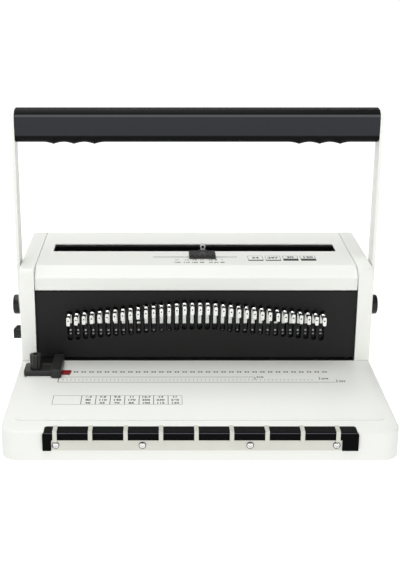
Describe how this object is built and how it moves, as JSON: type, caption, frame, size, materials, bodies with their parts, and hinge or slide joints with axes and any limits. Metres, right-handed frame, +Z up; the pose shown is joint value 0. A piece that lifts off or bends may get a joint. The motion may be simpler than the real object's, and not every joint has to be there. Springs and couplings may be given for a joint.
{
  "type": "wire binding machine",
  "caption": "Manual desk machine with a swing lever that punches a row of square holes and closes a wire spine.",
  "frame": {"origin": "on the desk under the middle of the bounding box", "axes": "+X to the right along the punch row, +Y to the rear, +Z up; the front with the table faces -Y"},
  "size_m": [0.41, 0.3458, 0.311],
  "materials": {
    "white_paint": "satin off-white powder coat",
    "black_panel": "matte black paint",
    "black_plastic": "moulded black plastic",
    "grip_plastic": "dark grey moulded grip",
    "foot_rubber": "black rubber",
    "steel": "zinc plated steel",
    "arm_screws": "polished dome heads",
    "dark_steel": "phosphated steel",
    "bright_keys": "bright nickel plate",
    "red_plastic": "red moulded plastic"
  },
  "bodies": {
    "housing": {"base_tray": "white_paint", "bottom_plate": "dark_steel", "foot_front_left": "foot_rubber", "foot_front_right": "foot_rubber", "foot_rear_left": "foot_rubber", "foot_rear_right": "foot_rubber", "left_side_cover": "white_paint", "right_side_cover": "white_paint", "top_cover": "white_paint", "rear_cover": "white_paint", "front_panel": "black_panel", "left_frame_plate": "dark_steel", "right_frame_plate": "dark_steel", "die_plate": "dark_steel", "pin_guide_plate": "dark_steel", "lower_tie_rod": "steel", "upper_tie_rod": "steel", "closer_anvil": "dark_steel", "trough_floor": "black_panel", "wire_rack": "black_plastic", "rack_finger_strip": "steel", "rack_screw_1": "steel", "rack_screw_2": "steel", "rack_screw_3": "steel", "rack_screw_4": "steel", "left_return_spring": "steel", "right_return_spring": "steel"},
    "lever": {"left_handle_arm": "white_paint", "right_handle_arm": "white_paint", "handle_grip": "grip_plastic", "handle_tube": "steel", "left_arm_screw_upper": "arm_screws", "left_arm_screw_lower": "arm_screws", "right_arm_screw_upper": "arm_screws", "right_arm_screw_lower": "arm_screws", "pivot_shaft": "steel", "left_pivot_cap": "black_plastic", "right_pivot_cap": "black_plastic", "left_drive_crank": "dark_steel", "right_drive_crank": "dark_steel"},
    "punch": {"pressure_bar": "dark_steel", "punch_pins": "steel", "pull_keys": "bright_keys"},
    "pull_key_17": {"pull_key_17": "bright_keys"},
    "pull_key_25": {"pull_key_25": "bright_keys"},
    "pull_key_29": {"pull_key_29": "bright_keys"},
    "pull_key_33": {"pull_key_33": "bright_keys"},
    "closer": {"closing_bar": "dark_steel"},
    "selector": {"selector_slider": "black_plastic", "selector_post": "steel", "size_wedge": "dark_steel"},
    "edge_guide": {"edge_guide": "black_plastic", "guide_pointer": "red_plastic"},
    "guide_knob": {"edge_guide_knob": "black_plastic"},
    "margin": {"margin_knob": "black_plastic", "margin_shaft": "steel"},
    "depth_stop": {"depth_stop": "steel"},
    "drawer": {"chip_drawer": "black_plastic", "drawer_front": "white_paint"}
  },
  "joints": [
    {"name": "lever_swing", "type": "hinge", "parent": "housing", "child": "lever", "pos_m": [0, 0.04595, 0.089], "axis": [1, 0, 0], "range_deg": [0, 80], "stiffness_Nm_per_rad": 1.5, "springref_deg": -34.38},
    {"name": "punch_slide", "type": "slide", "parent": "housing", "child": "punch", "axis": [0, 0, -1], "range_m": [0, 0.0206], "deforming": ["left_return_spring", "right_return_spring"]},
    {"name": "closer_slide", "type": "slide", "parent": "housing", "child": "closer", "axis": [0, -1, 0], "range_m": [0, 0.0161]},
    {"name": "key_17_pull", "type": "slide", "parent": "punch", "child": "pull_key_17", "axis": [0, -1, 0], "range_m": [0, 0.005]},
    {"name": "key_25_pull", "type": "slide", "parent": "punch", "child": "pull_key_25", "axis": [0, -1, 0], "range_m": [0, 0.005]},
    {"name": "key_29_pull", "type": "slide", "parent": "punch", "child": "pull_key_29", "axis": [0, -1, 0], "range_m": [0, 0.005]},
    {"name": "key_33_pull", "type": "slide", "parent": "punch", "child": "pull_key_33", "axis": [0, -1, 0], "range_m": [0, 0.005]},
    {"name": "selector_slide", "type": "slide", "parent": "housing", "child": "selector", "axis": [1, 0, 0], "range_m": [-0.043, 0.027]},
    {"name": "guide_slide", "type": "slide", "parent": "housing", "child": "edge_guide", "axis": [1, 0, 0], "range_m": [-0.005, 0.005]},
    {"name": "guide_knob_turn", "type": "hinge", "parent": "edge_guide", "child": "guide_knob", "pos_m": [-0.17446, -0.02305, 0.05], "axis": [0, 0, 1], "range_deg": [0, 180]},
    {"name": "margin_turn", "type": "hinge", "parent": "housing", "child": "margin", "pos_m": [-0.2, 0.03595, 0.0595], "axis": [1, 0, 0], "range_deg": [-90, 90]},
    {"name": "stop_slide", "type": "slide", "parent": "housing", "child": "depth_stop", "axis": [0, 1, 0], "range_m": [-0.001, 0.001]},
    {"name": "drawer_slide", "type": "slide", "parent": "housing", "child": "drawer", "axis": [1, 0, 0], "range_m": [0, 0.28]}
  ],
  "couplings": [
    {"joint": "punch_slide", "follows": "lever_swing", "m_per_rad": 0.014732},
    {"joint": "closer_slide", "follows": "lever_swing", "m_per_rad": 0.011509},
    {"joint": "margin_turn", "follows": "stop_slide", "rad_per_m": -1570.8}
  ]
}
